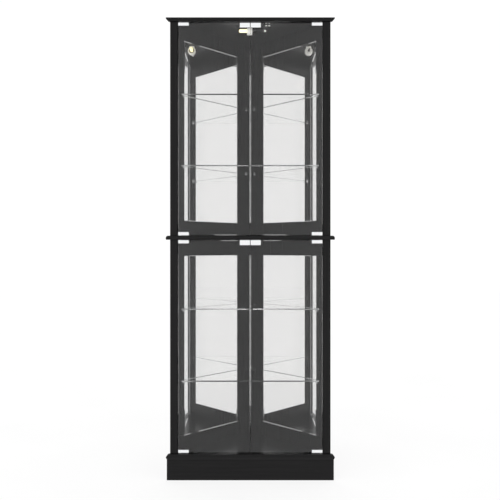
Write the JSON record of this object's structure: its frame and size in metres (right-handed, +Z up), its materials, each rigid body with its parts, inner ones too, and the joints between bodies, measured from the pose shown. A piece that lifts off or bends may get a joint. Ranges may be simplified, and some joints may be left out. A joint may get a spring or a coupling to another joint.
{
  "type": "curio cabinet",
  "caption": "Tall corner curio cabinet with a mirrored right-angle back, glass shelves, two tiers of frameless glass doors on pivot clips, touch latches and a small canopy lamp.",
  "frame": {"origin": "middle of the footprint's box, on the floor", "axes": "+Z up, doors face -Y, +X to the right seen from the front, the mirrored corner points to +Y"},
  "size_m": [0.657, 0.336, 1.8],
  "materials": {
    "dark_laminate": "near-black woodgrain laminate, satin",
    "mirror_glass": "silvered mirror glass",
    "clear_glass": "clear polished float glass",
    "chrome": "bright chrome plate",
    "latch_plastic": "matt black moulded plastic",
    "lamp_white": "white enamelled lamp holder",
    "bulb_glass": "frosted warm-white bulb glass"
  },
  "bodies": {
    "cabinet": {"top_board": "dark_laminate", "mid_board": "dark_laminate", "bottom_board": "dark_laminate", "plinth_front": "dark_laminate", "plinth_side_left": "dark_laminate", "wall_left": "dark_laminate", "plinth_side_right": "dark_laminate", "wall_right": "dark_laminate", "lamp_holder": "lamp_white", "lamp_bulb": "bulb_glass", "lower_shelf_1": "clear_glass", "lower_shelf_2": "clear_glass", "lower_latch_housing": "latch_plastic", "lower_post_left": "dark_laminate", "lower_mirror_left": "mirror_glass", "lower_shelf_1_rear_pin_left": "chrome", "lower_shelf_1_front_pin_left": "chrome", "lower_shelf_2_rear_pin_left": "chrome", "lower_shelf_2_front_pin_left": "chrome", "lower_post_right": "dark_laminate", "lower_mirror_right": "mirror_glass", "lower_shelf_1_rear_pin_right": "chrome", "lower_shelf_1_front_pin_right": "chrome", "lower_shelf_2_rear_pin_right": "chrome", "lower_shelf_2_front_pin_right": "chrome", "upper_shelf_1": "clear_glass", "upper_shelf_2": "clear_glass", "upper_latch_housing": "latch_plastic", "upper_post_left": "dark_laminate", "upper_mirror_left": "mirror_glass", "upper_shelf_1_rear_pin_left": "chrome", "upper_shelf_1_front_pin_left": "chrome", "upper_shelf_2_rear_pin_left": "chrome", "upper_shelf_2_front_pin_left": "chrome", "upper_post_right": "dark_laminate", "upper_mirror_right": "mirror_glass", "upper_shelf_1_rear_pin_right": "chrome", "upper_shelf_1_front_pin_right": "chrome", "upper_shelf_2_rear_pin_right": "chrome", "upper_shelf_2_front_pin_right": "chrome"},
    "lower_door_left": {"lower_door_glass_left": "clear_glass", "lower_door_top_hinge_left": "chrome", "lower_door_bottom_hinge_left": "chrome", "lower_door_strike_left": "chrome"},
    "lower_plunger_left": {"lower_latch_plunger_left": "latch_plastic"},
    "lower_door_right": {"lower_door_glass_right": "clear_glass", "lower_door_top_hinge_right": "chrome", "lower_door_bottom_hinge_right": "chrome", "lower_door_strike_right": "chrome"},
    "lower_plunger_right": {"lower_latch_plunger_right": "latch_plastic"},
    "upper_door_left": {"upper_door_glass_left": "clear_glass", "upper_door_top_hinge_left": "chrome", "upper_door_bottom_hinge_left": "chrome", "upper_door_strike_left": "chrome"},
    "upper_plunger_left": {"upper_latch_plunger_left": "latch_plastic"},
    "upper_door_right": {"upper_door_glass_right": "clear_glass", "upper_door_top_hinge_right": "chrome", "upper_door_bottom_hinge_right": "chrome", "upper_door_strike_right": "chrome"},
    "upper_plunger_right": {"upper_latch_plunger_right": "latch_plastic"}
  },
  "joints": [
    {"name": "lower_door_left_swing", "type": "hinge", "parent": "cabinet", "child": "lower_door_left", "pos_m": [-0.2758, -0.1455, 0.518], "axis": [0, 0, -1], "range_deg": [0, 105]},
    {"name": "lower_plunger_left_press", "type": "slide", "parent": "cabinet", "child": "lower_plunger_left", "axis": [0, 1, 0], "range_m": [0, 0.0025], "stiffness_N_per_m": 150},
    {"name": "lower_door_right_swing", "type": "hinge", "parent": "cabinet", "child": "lower_door_right", "pos_m": [0.2758, -0.1455, 0.518], "axis": [0, 0, 1], "range_deg": [0, 105]},
    {"name": "lower_plunger_right_press", "type": "slide", "parent": "cabinet", "child": "lower_plunger_right", "axis": [0, 1, 0], "range_m": [0, 0.0025], "stiffness_N_per_m": 150},
    {"name": "upper_door_left_swing", "type": "hinge", "parent": "cabinet", "child": "upper_door_left", "pos_m": [-0.2758, -0.1455, 1.37], "axis": [0, 0, -1], "range_deg": [0, 105]},
    {"name": "upper_plunger_left_press", "type": "slide", "parent": "cabinet", "child": "upper_plunger_left", "axis": [0, 1, 0], "range_m": [0, 0.0025], "stiffness_N_per_m": 150},
    {"name": "upper_door_right_swing", "type": "hinge", "parent": "cabinet", "child": "upper_door_right", "pos_m": [0.2758, -0.1455, 1.37], "axis": [0, 0, 1], "range_deg": [0, 105]},
    {"name": "upper_plunger_right_press", "type": "slide", "parent": "cabinet", "child": "upper_plunger_right", "axis": [0, 1, 0], "range_m": [0, 0.0025], "stiffness_N_per_m": 150}
  ]
}
